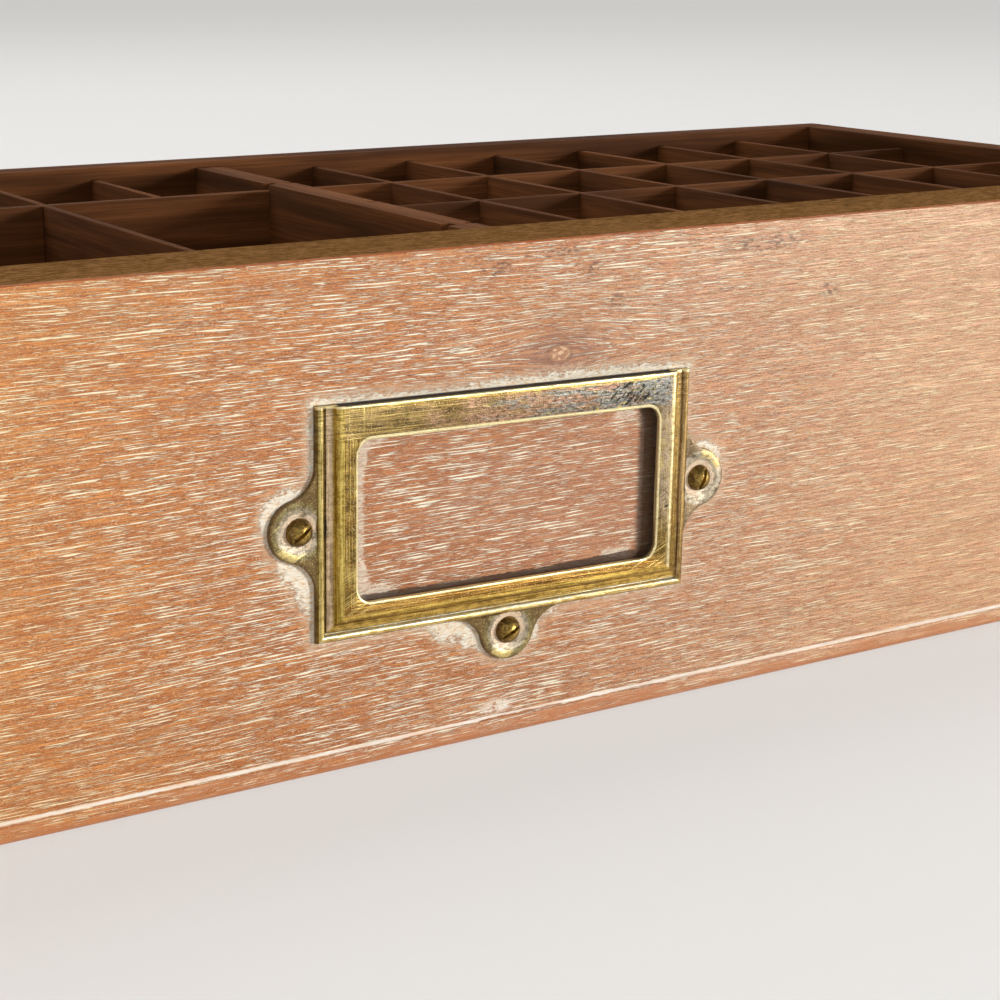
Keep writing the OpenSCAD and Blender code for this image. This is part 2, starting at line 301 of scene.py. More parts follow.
world = bpy.data.worlds.new("surround")
world.use_nodes = True
surround = world.node_tree.nodes["Background"].inputs
surround["Color"].default_value = (1, 1, 1, 1)
surround["Strength"].default_value = 0.26
bpy.context.scene.world = world
bpy.context.scene.view_settings.view_transform = "Standard"

# Where the lens stands from the hanging point, and how it is turned
CAMERA_REACH = Vector((-159.3, -257.2, 98.9)) * MM
CAMERA_YAW = math.radians(31.6)
CAMERA_PITCH = math.radians(15.07)
CAMERA_ROLL = math.radians(0.09)
camera = placed("camera", bpy.data.cameras.new("camera"))
camera.data.sensor_width = 36
camera.data.lens = 75.6
camera.data.clip_start = 0.01
camera.matrix_world = (
    Matrix.Translation(hang_point + CAMERA_REACH)
    @ Matrix.Rotation(-CAMERA_YAW, 4, "Z")
    @ Matrix.Rotation(math.pi / 2 - CAMERA_PITCH, 4, "X")
    @ Matrix.Rotation(CAMERA_ROLL, 4, "Z")
)
bpy.context.scene.camera = camera


# ---------------------------------------------------------------------------
# The card frame: one piece of thin brass, pressed to a bead, a groove and a
# raised plate on three sides and left open at the top for the card. Three ears
# are pressed out of its edge, each with a shallow dish for its screw.
# ---------------------------------------------------------------------------
CARD_WIDE = 64.5 * MM
CARD_HIGH = 34.7 * MM
PLATE_OUT = 1.8 * MM
PLATE_THICK = 0.8 * MM
PLATE_START = 3.9 * MM
WINDOW_SIDE = 6.1 * MM
WINDOW_BELOW = 5.5 * MM
WINDOW_ABOVE = 5.2 * MM
WINDOW_ROUND = 2.3 * MM
WINDOW_HALF = CARD_WIDE / 2 - WINDOW_SIDE
POCKET_START = 3.4 * MM
POCKET_DEEP = 1.0 * MM
PLATE_LAP = 0.2 * MM  # how far the plate and the moulding run into each other
EDGE_ROUND = 0.22 * MM  # on the plate's and the ears' edges
EAR_OUT = 0.8 * MM
EAR_REACH = 2.7 * MM
EAR_ROUND = 4.6 * MM
EAR_HALF = 9.5 * MM
EAR_HEIGHT = 17 * MM
EAR_ROOT = 0.9 * MM  # how far in from the frame's edge an ear starts
DISH_ROUND = 3.3 * MM
DISH_SLOPE = 0.5 * MM
DISH_DEEP = 0.16 * MM
TOUCH = 1e-6  # places closer than this, in metres, are one
# Places of the ears' roots on the frame's edge, and the way each ear points
EARS = {
    "left": (Vector((-CARD_WIDE / 2, 0, EAR_HEIGHT)), 90),
    "right": (Vector((CARD_WIDE / 2, 0, EAR_HEIGHT)), -90),
    "lower": (Vector((0, 0, 0)), 180),
}
# Corners of the frame and of its window, in millimetres from the middle of its lower edge
CARD_LOW = (-CARD_WIDE / 2 / MM, 0)
CARD_TOP = (CARD_WIDE / 2 / MM, CARD_HIGH / MM)
WINDOW_LOW = (-WINDOW_HALF / MM, WINDOW_BELOW / MM)
WINDOW_TOP = (WINDOW_HALF / MM, (CARD_HIGH - WINDOW_ABOVE) / MM)


def copied(node):
    """A closed copy of a CAD node's mesh as a bmesh."""
    bm = bmesh.new()
    bm.from_mesh(frame["nodes"][node].data)
    bmesh.ops.remove_doubles(bm, verts=bm.verts, dist=TOUCH)
    return bm


def carved(piece, tools, operation="DIFFERENCE"):
    """Cuts the tools out of a piece, or welds them on, and clears them away."""
    for tool in tools:
        step = piece.modifiers.new("cut", "BOOLEAN")
        step.operation = operation
        step.solver = "EXACT"
        step.object = tool
    graph = bpy.context.evaluated_depsgraph_get()
    mesh = bpy.data.meshes.new_from_object(piece.evaluated_get(graph))
    piece.modifiers.clear()
    piece.data = mesh
    for tool in tools:
        bpy.data.objects.remove(tool)
    return piece


def dressed(piece, material, angle=30):
    """Gives a carved piece its one material and smooths it up to an angle in degrees."""
    piece.data.materials.clear()
    piece.data.materials.append(material)
    smoothed(piece.data, angle)
    return piece


def settled(piece, slot, *nodes):
    """Says where a finished piece belongs."""
    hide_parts(*nodes)
    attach(piece, "root")


def arc(centre, radius, start, end, steps=8):
    """Points on a round stretch from one angle to another, in degrees."""
    angles = [math.radians(start + (end - start) * i / steps) for i in range(steps + 1)]
    return [(centre[0] + radius * math.cos(a), centre[1] + radius * math.sin(a)) for a in angles]


def rim(verts):
    """The edges that join the given vertices."""
    chosen = set(verts)
    edges = {edge for vert in verts for edge in vert.link_edges}
    return [edge for edge in edges if set(edge.verts) <= chosen]


def closed(bm, loops):
    """New edges that join the vertices of each loop into a ring."""
    return [bm.edges.new((loop[i - 1], loop[i])) for loop in loops for i in range(len(loop))]


def drawn_out(bm, outline, way):
    """Makes a solid of a flat outline and returns the vertices of its far end."""
    face = bm.faces.new([bm.verts.new(place) for place in outline])
    grown = bmesh.ops.extrude_face_region(bm, geom=[face])
    far = [v for v in grown["geom"] if isinstance(v, bmesh.types.BMVert)]
    bmesh.ops.translate(bm, verts=far, vec=way)
    bmesh.ops.recalc_face_normals(bm, faces=bm.faces)
    return far


def eased(bm, edges, width, segments):
    """Rounds edges off in so many steps."""
    bmesh.ops.bevel(
        bm,
        geom=edges,
        offset=width,
        offset_type="OFFSET",
        segments=segments,
        profile=0.5,
        affect="EDGES",
        clamp_overlap=True,
        material=-1,
    )


def moulding_section():
    """Distance in from the frame's edge and height above the wood, from the edge to the plate."""
    bead = arc((0.62, 0.56), 0.58, 180, 0, 10)
    shoulder = arc((3.5, 1.0), 0.8, 172, 90, 6)
    points = [(0, 0), *bead, (1.28, 0.5), (1.42, 0.5), (1.54, 0.76), (2.5, 0.9)]
    points += [*shoulder, (PLATE_START / MM, PLATE_OUT / MM)]
    pocket = POCKET_DEEP / MM
    points += [(PLATE_START / MM, pocket), (POCKET_START / MM, pocket), (POCKET_START / MM, 0)]
    return [(inward * MM, out * MM) for inward, out in points]


def moulding():
    """The section led down the left side, along the bottom and up the right side."""
    bm = bmesh.new()
    half = CARD_WIDE / 2
    stations = [
        lambda s: (-half + s, CARD_HIGH),
        lambda s: (-half + s, s),
        lambda s: (half - s, s),
        lambda s: (half - s, CARD_HIGH),
    ]
    loops = []
    for station in stations:
        verts = []
        for inward, out in moulding_section():
            x, z = station(inward)
            verts.append(bm.verts.new((x, -out, z)))
        loops.append(verts)
    edges = closed(bm, loops)
    count = len(loops[0])
    for i in range(len(loops) - 1):
        bmesh.ops.bridge_loops(bm, edges=edges[i * count:(i + 2) * count])
    bm.faces.new(loops[0])
    bm.faces.new(loops[-1])
    bmesh.ops.recalc_face_normals(bm, faces=bm.faces)
    return made("moulding", bm)


def window_outline():
    """The opening's edge with its round corners, across and up."""
    low, high = WINDOW_BELOW, CARD_HIGH - WINDOW_ABOVE
    side, r = WINDOW_HALF, WINDOW_ROUND
    return [
        *arc((-side + r, low + r), r, 180, 270),
        *arc((side - r, low + r), r, 270, 360),
        *arc((side - r, high - r), r, 0, 90),
        *arc((-side + r, high - r), r, 90, 180),
    ]


def plate():
    """The raised face with its window, eased round the window and along the top."""
    bm = bmesh.new()
    half = CARD_WIDE / 2 - PLATE_START + PLATE_LAP
    low = PLATE_START - PLATE_LAP
    outer = [(-half, low), (half, low), (half, CARD_HIGH), (-half, CARD_HIGH)]
    loops = [
        [bm.verts.new((x, -PLATE_OUT, z)) for x, z in outline]
        for outline in (outer, window_outline())
    ]
    bmesh.ops.triangle_fill(bm, use_beauty=True, edges=closed(bm, loops))
    top = [edge for edge in bm.edges if all(abs(v.co.z - CARD_HIGH) < TOUCH for v in edge.verts)]
    rims = rim(loops[1]) + top
    bmesh.ops.recalc_face_normals(bm, faces=bm.faces)
    if bm.faces[:][0].normal.y > 0:
        bmesh.ops.reverse_faces(bm, faces=bm.faces)
    bmesh.ops.solidify(bm, geom=bm.faces[:], thickness=PLATE_THICK)
    bmesh.ops.recalc_face_normals(bm, faces=bm.faces)
    eased(bm, [edge for edge in rims if edge.is_valid], EDGE_ROUND, 3)
    return made("plate", bm)


def ear_outline():
    """An ear that stands up from the frame's edge: a round lobe on hollow flanks."""
    reach, lobe, half = EAR_REACH, EAR_ROUND, EAR_HALF
    hollow = (half ** 2 + reach ** 2 - lobe ** 2) / (2 * (lobe + reach))
    turn = math.degrees(math.atan2(hollow - reach, half))
    right = arc((0, reach), lobe, 90, turn, 12)
    right += arc((half, hollow), hollow, 180 + turn, 270, 6)[1:]
    left = [(-x, z) for x, z in reversed(right[1:])]
    return [(-half, -EAR_ROOT), *left, *right, (half, -EAR_ROOT)]


def ear(turn, root):
    """A flat ear, turned to point its way at its root."""
    bm = bmesh.new()
    top = drawn_out(bm, [(x, 0, z) for x, z in ear_outline()], (0, -EAR_OUT, 0))
    eased(bm, rim(top), EDGE_ROUND, 2)
    bmesh.ops.rotate(bm, verts=bm.verts, matrix=Matrix.Rotation(-math.radians(turn), 3, "Y"))
    bmesh.ops.translate(bm, verts=bm.verts, vec=root)
    return made("ear", bm)


def screw_place(side):
    """Middle of a screw on the wood, before the frame is hung."""
    root, turn = EARS[side]
    return root + Matrix.Rotation(-math.radians(turn), 3, "Y") @ Vector((0, 0, EAR_REACH))


def dish(side):
    """A shallow round hollow with a sloping wall, as a tool to cut with."""
    bm = bmesh.new()
    bmesh.ops.create_cone(
        bm,
        cap_ends=True,
        segments=40,
        radius1=DISH_ROUND + DISH_SLOPE,
        radius2=DISH_ROUND - DISH_SLOPE,
        depth=4 * DISH_DEEP,
        matrix=Matrix.Rotation(-math.pi / 2, 4, "X"),
    )
    middle = screw_place(side)
    middle.y = -EAR_OUT - DISH_DEEP
    bmesh.ops.translate(bm, verts=bm.verts, vec=middle)
    bmesh.ops.recalc_face_normals(bm, faces=bm.faces)
    return made("dish", bm)


def hung(piece):
    """Turns what was modelled upright at the origin to the frame's tilt, at its place."""
    piece.data.transform(Matrix.Translation(hang_point) @ Matrix.Rotation(HANG_TILT, 4, "Y"))
    return piece


def hung_place(f):
    """Across and up from the middle of the frame's lower edge, and out of the wood, in mm."""
    moved = f.fit(f.place, move=[-c / MM for c in hang_point])
    upright = f.fit(moved, turn=(0, -HANG_TILT, 0))
    x, behind, z = f.parts(upright)
    return upright, x, z, f.product(behind, -1.0)


def screw_distance(f, x, z):
    """Distance from the nearest screw."""
    places = [screw_place(side) / MM for side in EARS]
    return f.least(*[f.length(f.minus(x, p.x), f.minus(z, p.z)) for p in places])


# The moulded edge's zones, each with the distance in from the edge where it ends and with
# a dark and a light shade for the left, the right and the lower side. Besides the patina the
# shades hold painted light: painted highlights on the right shoulder and along the lower bead,
# and painted shade on the steps and bead sides turned away from the light
MOULDED_TONE_AND_LIGHT = [
    (3.95, "7a6228-c4a550", "8f7c58-c8b48a", "7c5a20-c8a04a"),
    (3.66, "94782c-e2c870", "c8ae66-fff0bc", "8f6a22-dcba5e"),
    (3.22, "8a6c22-c8a84c", "8a6a2a-c09a48", "7a5a1e-c09a44"),
    (2.74, "8a6e26-b8963e", "5e4414-a8822e", "5c4114-9a7630"),
    (2.50, "9a8266-dcc09a", "6a5020-b08c46", "7e5f22-d0aa55"),
    (1.52, "5c4a2c-8a7450", "3c2a10-6e5220", "2a1c0a-4a3414"),
    (1.34, "7a622a-bfa158", "8a6c38-c8a878", "ecd68e-fffbe6"),
    (0.80, "8c7434-dcc67e", "7c5e2a-c09c5c", "b08a3e-eed592"),
    (0.22, "5c4a1e-8e7638", "6a4e26-a08048", "6a4e20-a08044"),
]


def old_brass():
    """Brass gone brown and grey where it lies low, rubbed to gold where it stands out."""
    f = Finish("old_brass")
    own, x, z, out = hung_place(f)
    # Distance in from the sides, in from the moulded edges, down from the top edge and out
    # from the window
    side = f.minus(CARD_TOP[0], f.maths("ABSOLUTE", x))
    inward = f.least(side, z)
    below_top = f.minus(CARD_TOP[1], z)
    off_window = f.off_box(x, z, WINDOW_LOW, WINDOW_TOP, WINDOW_ROUND / MM)
    off_screw = screw_distance(f, x, z)

    blotches = f.noise(own, (5, 5, 2.5), 3.0, 0.6, seed=41)
    mottle = f.noise(own, (1.3, 1.3, 0.9), 3.0, 0.65, seed=42)
    across = f.noise(own, (9, 1, 0.16), 2.0, 0.6, seed=43)
    upward = f.noise(own, (0.16, 1, 9), 2.0, 0.6, seed=44)
    level = f.rise(f.minus(f.least(side, 7.0), z), -1.0, 1.0)
    level = f.most(level, f.rise(below_top, 6.0, 4.5))
    brushed = f.total(f.product(level, across), f.product(f.less(level), upward))

    # The plate: brown skin, rubbed through to gold in streaks
    brown = f.mix(f.rise(mottle, 0.35, 0.65), paint("4f3b18"), paint("86672f"))
    gold = f.mix(blotches, paint("a98537"), paint("e6ca7a"))
    rubbed = f.rise(f.total(f.product(brushed, 0.8), f.product(blotches, 0.5)), 0.58, 0.84)
    colour = f.mix(rubbed, brown, gold)
    # The lower bar is handled most and is warm gold; the right one has a dull grey skin
    lower = f.rise(z, 6.2, 4.6)
    amber = f.mix(f.rise(brushed, 0.35, 0.7), paint("4c2e0e"), paint("b9853a"))
    colour = f.mix(f.product(lower, 0.8), colour, amber)
    grey = f.mix(mottle, paint("6f6453"), paint("bda793"))
    right = f.product(f.rise(x, 24.5, 27.5), f.rise(z, 8.0, 15.0))
    colour = f.mix(f.product(right, f.rise(mottle, 0.25, 0.6), 0.75), colour, grey)
    # Along the top bar the skin turns from brown through rose to blue-grey
    top = f.product(f.rise(below_top, 5.3, 4.6), f.rise(below_top, 0.5, 1.1))
    patina = f.noise(own, (0.9, 1, 0.35), 4.0, 0.75, seed=54)
    blue = f.mix(f.rise(patina, 0.38, 0.62), paint("1f2a33"), paint("a5a7a2"))
    rose = f.mix(f.rise(patina, 0.38, 0.62), paint("5a3526"), paint("cf9e84"))
    streaks = f.noise(own, (4.5, 1, 0.6), 4.0, 0.7, seed=46)
    skin = f.mix(f.rise(f.total(streaks, f.product(x, 0.006)), 0.5, 0.60), rose, blue)
    flecks = f.noise(own, (2.2, 1, 1.1), 2.0, 0.5, seed=55)
    skin = f.mix(f.rise(flecks, 0.66, 0.7), skin, paint("d6bf72"))
    cover = f.total(f.product(x, 0.014), f.product(f.minus(blotches, 0.5), 1.4), 0.52)
    colour = f.mix(f.product(top, f.rise(cover, 0.2, 0.7), 0.88), colour, skin)
    colour = f.mix(f.product(top, 0.2), colour, paint("2c2010"))
    # Deep scratches crossing the plate, and dark scribbles on it
    corner = f.rise(f.maths("ABSOLUTE", x), 18.0, 25.0)
    scored = f.most(
        f.rise(f.noise(own, (14, 1, 0.09), 0.0, seed=47), 0.73, 0.76),
        f.product(f.rise(f.noise(own, (0.09, 1, 11), 0.0, seed=48), 0.72, 0.76), corner),
    )
    slanting = f.noise(f.fit(own, turn=(0, 0.45, 0)), (12, 1, 0.12), 0.0, seed=56)
    scored = f.most(scored, f.product(
        f.rise(slanting, 0.64, 0.68),
        f.most(f.spot(x, z, (26.5, 5.5), (9.0, 6.0)), f.spot(x, z, (-27.0, 6.5), (5.0, 5.0))),
    ))
    colour = f.mix(f.product(scored, 0.7), colour, paint("e6cb77"))
    scribble = f.noise(f.fit(own, turn=(0, 0.7, 0)), (1.6, 1, 0.32), 3.0, 0.6, seed=49)
    marks = f.most(f.spot(x, z, (20.5, 32.0), (4.2, 2.0)), f.spot(x, z, (28.3, 14.5), (1.5, 1.4)))
    dark = f.rise(f.product(f.rise(scribble, 0.5, 0.58), marks), 0.1, 0.5)
    colour = f.mix(dark, colour, paint("161512"))

    # The moulded edge, from the plate's shoulder out to the foot of the bead, with its painted
    # highlights and painted shade
    on_low = f.rise(f.minus(side, z), -0.1, 0.1)
    on_right = f.rise(x, -1.0, 1.0)
    streak = f.rise(f.total(f.product(brushed, 0.6), f.product(mottle, 0.4)), 0.38, 0.60)
    for ends, *sides in MOULDED_TONE_AND_LIGHT:
        left_tone_and_light, right_tone_and_light, low_tone_and_light = [
            f.mix(streak, *map(paint, shades.split("-"))) for shades in sides
        ]
        skin = f.mix(on_low, f.mix(on_right, left_tone_and_light, right_tone_and_light), low_tone_and_light)
        colour = f.mix(f.rise(inward, ends + 0.07, ends - 0.07), colour, skin)
    # What the hand reaches is rubbed bright: the window's arris and the top edge
    wide = f.between(f.rise(below_top, 6.0, 5.4), 0.0, 0.2)
    arris = f.product(f.rise(f.minus(off_window, wide), 0.42, 0.2), f.rise(out, 0.9, 1.3))
    arris = f.most(arris, f.rise(below_top, 0.5, 0.2))
    colour = f.mix(f.product(arris, f.rise(mottle, 0.1, 0.45)), colour, paint("f6e6b0"))

    # Painted shade: near black on the plate's top face at the pocket's mouth, and in the recesses
    # beside two screws where the dishes cut into the bead
    above = f.facing()[2]
    mouth_shade = f.product(f.rise(above, 0.75, 0.9), f.rise(below_top, 0.3, 0.1), f.rise(out, 0.9, 1.0))
    recess_shade = f.most(
        f.spot(x, z, (-30.85, 17.2), (0.3, 2.0)),
        f.spot(x, z, (32.2, 16.2), (0.5, 2.0)),
        mouth_shade,
    )
    colour = f.mix(recess_shade, colour, paint("140c05"))

    # The ears: olive to the left and grey to the right, with a brown rim, rubbed bright in
    # strokes, and with lime packed round the screws
    on_ear = f.rise(inward, 0.1, -0.15)
    skin = f.mix(f.rise(mottle, 0.3, 0.65), paint("5c4c28"), paint("8f8050"))
    ashen = f.mix(f.rise(mottle, 0.3, 0.65), paint("6d604c"), paint("c4b69e"))
    skin = f.mix(f.most(f.rise(off_screw, 3.9, 3.2), f.rise(x, 20, 30)), skin, ashen)
    strokes = f.noise(f.fit(own, turn=(0, 0.5, 0)), (6, 1, 0.45), 3.0, 0.65, seed=45)
    handled = f.most(
        f.spot(x, z, (-37.6, 13.6), (4.0, 2.2)),
        f.spot(x, z, (37.0, 20.0), (2.4, 2.8)),
        f.spot(x, z, (-2.0, -6.6), (4.2, 1.4)),
    )
    bright = f.rise(f.total(strokes, f.product(handled, 0.26)), 0.62, 0.72)
    bright = f.product(bright, f.rise(off_screw, 3.1, 3.4))
    skin = f.mix(f.product(bright, 0.85), skin, paint("e2c983"))
    rounded = f.rise(f.total(off_screw, f.product(mottle, 0.3)), 4.3, 4.6)
    skin = f.mix(f.product(rounded, 0.8), skin, f.mix(mottle, paint("4a3216"), paint("8a6a38")))
    colour = f.mix(on_ear, colour, skin)
    packed = f.total(f.product(f.minus(mottle, 0.5), 2.2), off_screw)
    lime = f.product(on_ear, f.rise(packed, 2.95, 2.7), f.rise(off_screw, 1.95, 2.1))
    lime = f.product(lime, f.rise(blotches, 0.38, 0.5))
    colour = f.mix(lime, colour, f.mix(mottle, paint("cda67e"), paint("fbe9cd")))
    # Fine grit over it all
    grit = f.noise(own, (0.22, 0.22, 0.18), 1.0, 0.7, seed=50)
    colour = f.mix(f.product(f.rise(grit, 0.56, 0.72), 0.5), colour, paint("3c2c12"))
    colour = f.mix(f.product(f.rise(grit, 0.44, 0.28), 0.4), colour, paint("ecd9a0"))

    dull = f.most(
        lime,
        recess_shade,
        f.product(top, 0.35),
        f.product(on_ear, f.between(bright, 0.5, 0.15)),
        f.product(right, 0.3),
    )
    relief = f.relief(brushed, 0.05, f.relief(mottle, 0.06))
    relief = f.relief(f.total(f.product(scored, -1.0), f.product(dark, -0.5), lime), 0.05, relief)
    return f.apply(
        colour,
        f.total(f.between(blotches, 0.24, 0.42), f.product(dull, 0.3)),
        relief,
        metallic=f.between(dull, 0.95, 0.1),
    )


brass = old_brass()
card_frame = moulding()
ears = [carved(ear(turn, root), [dish(side)]) for side, (root, turn) in EARS.items()]
carved(card_frame, [plate(), *ears], "UNION")
card_frame.name = "brass_card_frame"
settled(hung(dressed(card_frame, brass, 35)), "aged_brass", "card_frame")


# ---------------------------------------------------------------------------
# The three screws: No. 2 round-head brass wood screws, turned from rod, with a
# sawn slot. They hold the card frame through its ears.
# ---------------------------------------------------------------------------
HEAD_WIDE = 4.2 * MM
HEAD_HIGH = 1.6 * MM
SHANK_WIDE = 2.2 * MM
SHANK_LONG = 12 * MM
SLOT_WIDE = 0.6 * MM
SLOT_DEEP = 0.8 * MM
SLOT_TURNS = {"left": 37, "right": 70, "lower": 30}  # degrees out of level


def worn_screw_brass():
    """Brown brass, darkened low down near the middle and in the slot for dirt and painted shade,
    with a rubbed crown painted lighter as a highlight too.
    """
    f = Finish("screw_brass")
    own, x, z, out = hung_place(f)
    off_screw = screw_distance(f, x, z)
    mottle = f.noise(own, (0.8, 0.8, 0.8), 3.0, 0.6, seed=51)
    colour = f.mix(f.rise(mottle, 0.3, 0.7), paint("5c4320"), paint("8c6f34"))
    # The crown is rubbed, and painted lighter also as a painted highlight
    crown = f.rise(f.total(off_screw, f.product(f.minus(mottle, 0.5), 1.6)), 1.6, 0.5)
    colour = f.mix(f.product(crown, 0.7), colour, paint("c9a755"))
    tarnish = f.noise(own, (0.5, 0.5, 0.4), 3.0, 0.7, seed=52)
    colour = f.mix(f.product(f.rise(tarnish, 0.5, 0.62), 0.7), colour, paint("33220e"))
    colour = f.mix(f.product(f.rise(tarnish, 0.42, 0.3), 0.5), colour, paint("d8bd84"))
    # Dirt and painted shade: dark low down near the middle, in the slot
    sunk = f.rise(out, 1.25, 1.0)
    in_slot = f.product(sunk, f.rise(off_screw, 1.9, 1.7))
    colour = f.mix(f.product(in_slot, 0.8), colour, paint("1d130a"))
    return f.apply(colour, f.between(mottle, 0.25, 0.55), f.relief(mottle, 0.08), metallic=0.9)


def screw(side):
    """Spun about its axis with the head up, slotted, then laid down to face out of the wood."""
    bm = bmesh.new()
    head, shank = HEAD_WIDE / 2, SHANK_WIDE / 2
    ball = (head ** 2 + HEAD_HIGH ** 2) / (2 * HEAD_HIGH)
    reach = math.degrees(math.asin(min(1, head / ball)))
    crown = arc((0, HEAD_HIGH - ball), ball, 90, 90 - reach, 10)
    profile = [*crown, (shank, 0), (shank, SHANK_WIDE - SHANK_LONG), (0, -SHANK_LONG)]
    line = [bm.verts.new((r, 0, h)) for r, h in profile]
    edges = [bm.edges.new(pair) for pair in zip(line, line[1:])]
    bmesh.ops.spin(
        bm,
        geom=line + edges,
        axis=(0, 0, 1),
        cent=(0, 0, 0),
        angle=2 * math.pi,
        steps=40,
        use_merge=True,
    )
    bmesh.ops.remove_doubles(bm, verts=bm.verts, dist=TOUCH)
    bmesh.ops.recalc_face_normals(bm, faces=bm.faces)
    piece = made("brass_screw_" + side, bm)
    tool = bmesh.new()
    bmesh.ops.create_cube(tool, size=1)
    bmesh.ops.scale(tool, verts=tool.verts, vec=(2 * HEAD_WIDE, SLOT_WIDE, 2 * SLOT_DEEP))
    bmesh.ops.translate(tool, verts=tool.verts, vec=(0, 0, HEAD_HIGH))
    bmesh.ops.rotate(
        tool, verts=tool.verts, matrix=Matrix.Rotation(math.radians(SLOT_TURNS[side]), 3, "Z")
    )
    carved(piece, [made("slot", tool)])
    middle = screw_place(side)
    middle.y = -EAR_OUT + DISH_DEEP
    piece.data.transform(Matrix.Translation(middle) @ Matrix.Rotation(math.pi / 2, 4, "X"))
    return hung(piece)


screw_brass = worn_screw_brass()
for side in EARS:
    settled(dressed(screw(side), screw_brass), "aged_brass", "card_frame_screws")


# ---------------------------------------------------------------------------
# The front: one board of open-pored hardwood with a small bead along its lower edge. Its
# face is rubbed with white lime, which stays in the pores, in the quirk above the bead and
# round the card frame, where no cloth could wipe it off; the top edge is bare and brown.
# ---------------------------------------------------------------------------
BEAD = 3 * MM
QUIRK = 0.7 * MM
QUIRK_DEPTH = 0.4 * MM  # to the lime that fills its bottom
KNOT = (9.4, 58.7)  # across and up on the face, in millimetres
KNOT_REACH = (13.0, 5.0)  # to which it bends the grain, across and up
KNOT_EYE = (2.0, 1.25)
# Small dark bruises on the face: middle and reach across and up
BRUISES = [
    ((-1.9, 72.5), (3.0, 2.0)),
    ((8.0, 74.0), (6.0, 1.0)),
    ((15.0, 71.0), (2.4, 1.6)),
    ((19.5, 66.0), (2.8, 1.8)),
    ((48.0, 72.5), (9.0, 1.6)),
    ((61.0, 64.0), (2.0, 1.6)),
]
# Where lime was left thick on the face: middle on the card frame's own axes, reach, amount
LIME_HEAPS = [
    ((-38.0, 21.0), (4.5, 5.0), 1.9),
    ((-35.5, 9.0), (4.0, 5.0), 2.5),
    ((-33.0, 3.0), (2.5, 4.0), 0.5),
    ((-33.0, 28.0), (2.5, 12.0), 0.6),
    ((-9.0, -3.0), (5.0, 4.5), 2.7),
    ((7.0, -3.0), (4.0, 3.5), 1.1),
    ((38.0, 23.0), (4.5, 5.0), 0.9),
    ((12.0, 35.5), (24.0, 2.5), 1.0),
    ((-24.0, 35.5), (12.0, 2.5), 0.6),
]


def board_section(thick, high):
    """Distance behind the face and height, with the bead and the quirk at the bottom."""
    return [
        (0, 0),
        (0, BEAD),
        (QUIRK_DEPTH, BEAD),
        (QUIRK_DEPTH, BEAD + QUIRK),
        (0, BEAD + QUIRK),
        (0, high),
        (thick, high),
        (thick, 0),
    ]


def lengthwise(bm, y, z):
    """The board's long edges that lie at a distance behind its face and at a height."""
    return [
        edge for edge in bm.edges
        if all(
            abs(vert.co.y - front_low.y - y) < TOUCH and abs(vert.co.z - z) < TOUCH
            for vert in edge.verts
        )
    ]


def front_piece():
    """The board with its bead and quirk, its long edges rounded off."""
    low, size = front_low, front_high - front_low
    bm = bmesh.new()
    section = [(low.x, low.y + y, low.z + z) for y, z in board_section(size.y, size.z)]
    drawn_out(bm, section, (size.x, 0, 0))
    # Each long edge's distance behind the face and height, and its round's width and steps
    rounds = [
        (0, 0, BEAD * 0.49, 8),
        (0, BEAD, BEAD * 0.49, 8),
        (0, BEAD + QUIRK, 0.15 * MM, 2),
        (0, size.z, 0.5 * MM, 4),
        (size.y, size.z, 0.5 * MM, 3),
        (size.y, 0, 0.4 * MM, 2),
    ]
    for y, z, width, segments in rounds:
        eased(bm, lengthwise(bm, y, z), width, segments)
    return made("limed_front", bm)


def reaching_nodes(low, high, names):
    """Names of the nodes whose box reaches into the box from low to high."""
    def meets(node):
        box_low, box_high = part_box(node)
        return all(box_low[i] < high[i] - TOUCH and box_high[i] > low[i] + TOUCH for i in range(3))
    return [name for name in names if meets(name)]


